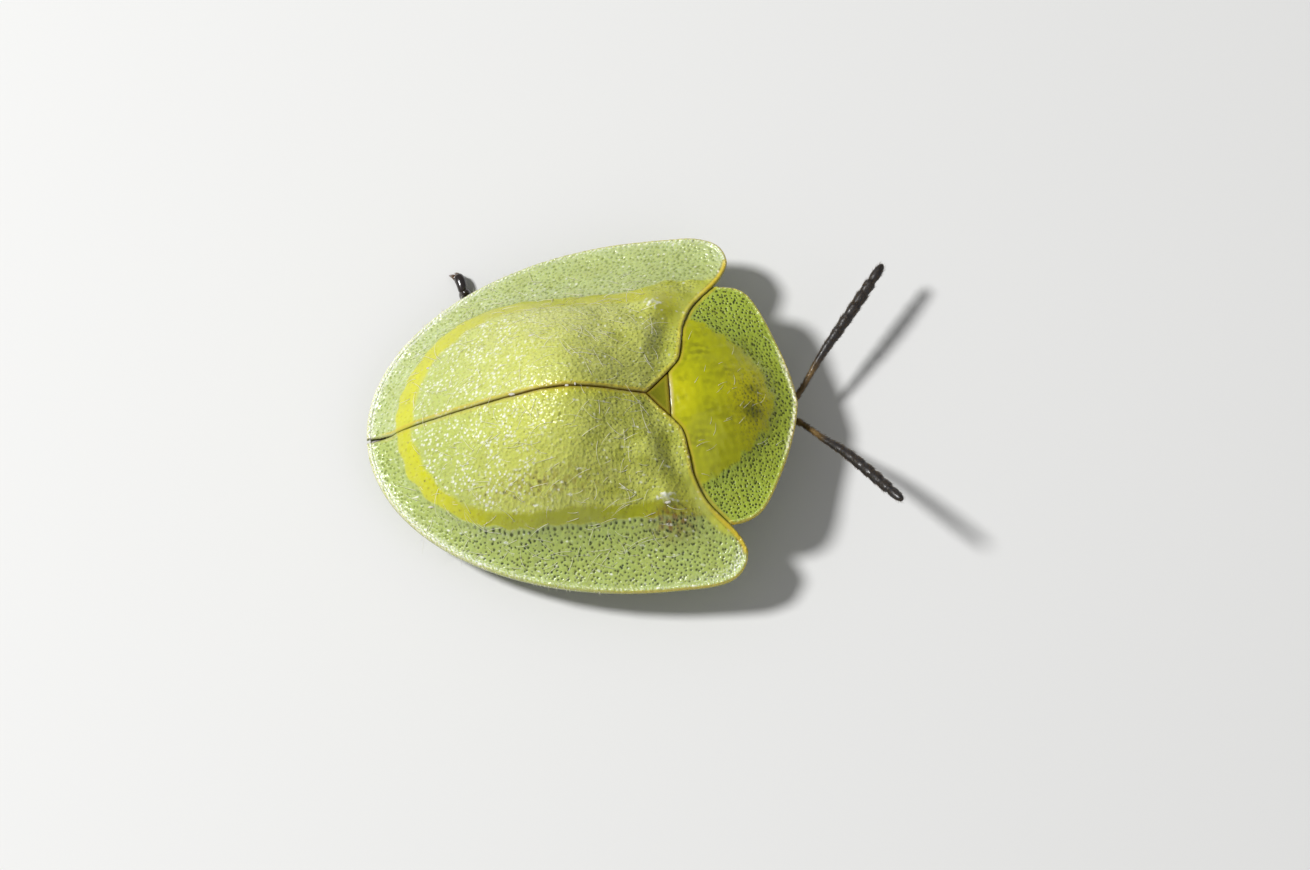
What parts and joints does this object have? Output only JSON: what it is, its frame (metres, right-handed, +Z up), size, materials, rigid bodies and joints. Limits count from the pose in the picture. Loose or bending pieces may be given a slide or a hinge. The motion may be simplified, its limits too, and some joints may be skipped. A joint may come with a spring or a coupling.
{
  "type": "life-size tortoise beetle model",
  "caption": "Life-size still model of a pale green tortoise beetle, with a broad humped shield, feelers out and a hind foot past the rim.",
  "frame": {"origin": "the point of the floor under the middle of the beetle's box", "axes": "+X forward, the way the head points and along the longest extent; +Y to the beetle's left; +Z up, the shortest extent"},
  "size_m": [0.0173, 0.0119, 0.0061],
  "materials": {
    "wing_case": "glossy, finely pitted, part see-through shell",
    "pronotum_shell": "glossy shell, pitted along its border",
    "underside": "smooth dark brown shell",
    "head": "smooth amber brown shell",
    "eye": "glossy black, finely faceted",
    "antenna": "black with a fine short down, brown near the root",
    "leg": "glossy black"
  },
  "bodies": {
    "root": {"pronotum": "pronotum_shell", "scutellum": "pronotum_shell", "elytron_left": "wing_case", "elytron_right": "wing_case", "abdomen": "underside", "thorax": "underside", "prothorax": "underside", "head": "head", "eye_left": "eye", "eye_right": "eye", "antenna_left": "antenna", "antenna_right": "antenna", "leg_front_left": "leg", "leg_front_right": "leg", "leg_middle_left": "leg", "leg_middle_right": "leg", "leg_hind_left": "leg", "leg_hind_right": "leg"}
  },
  "joints": []
}
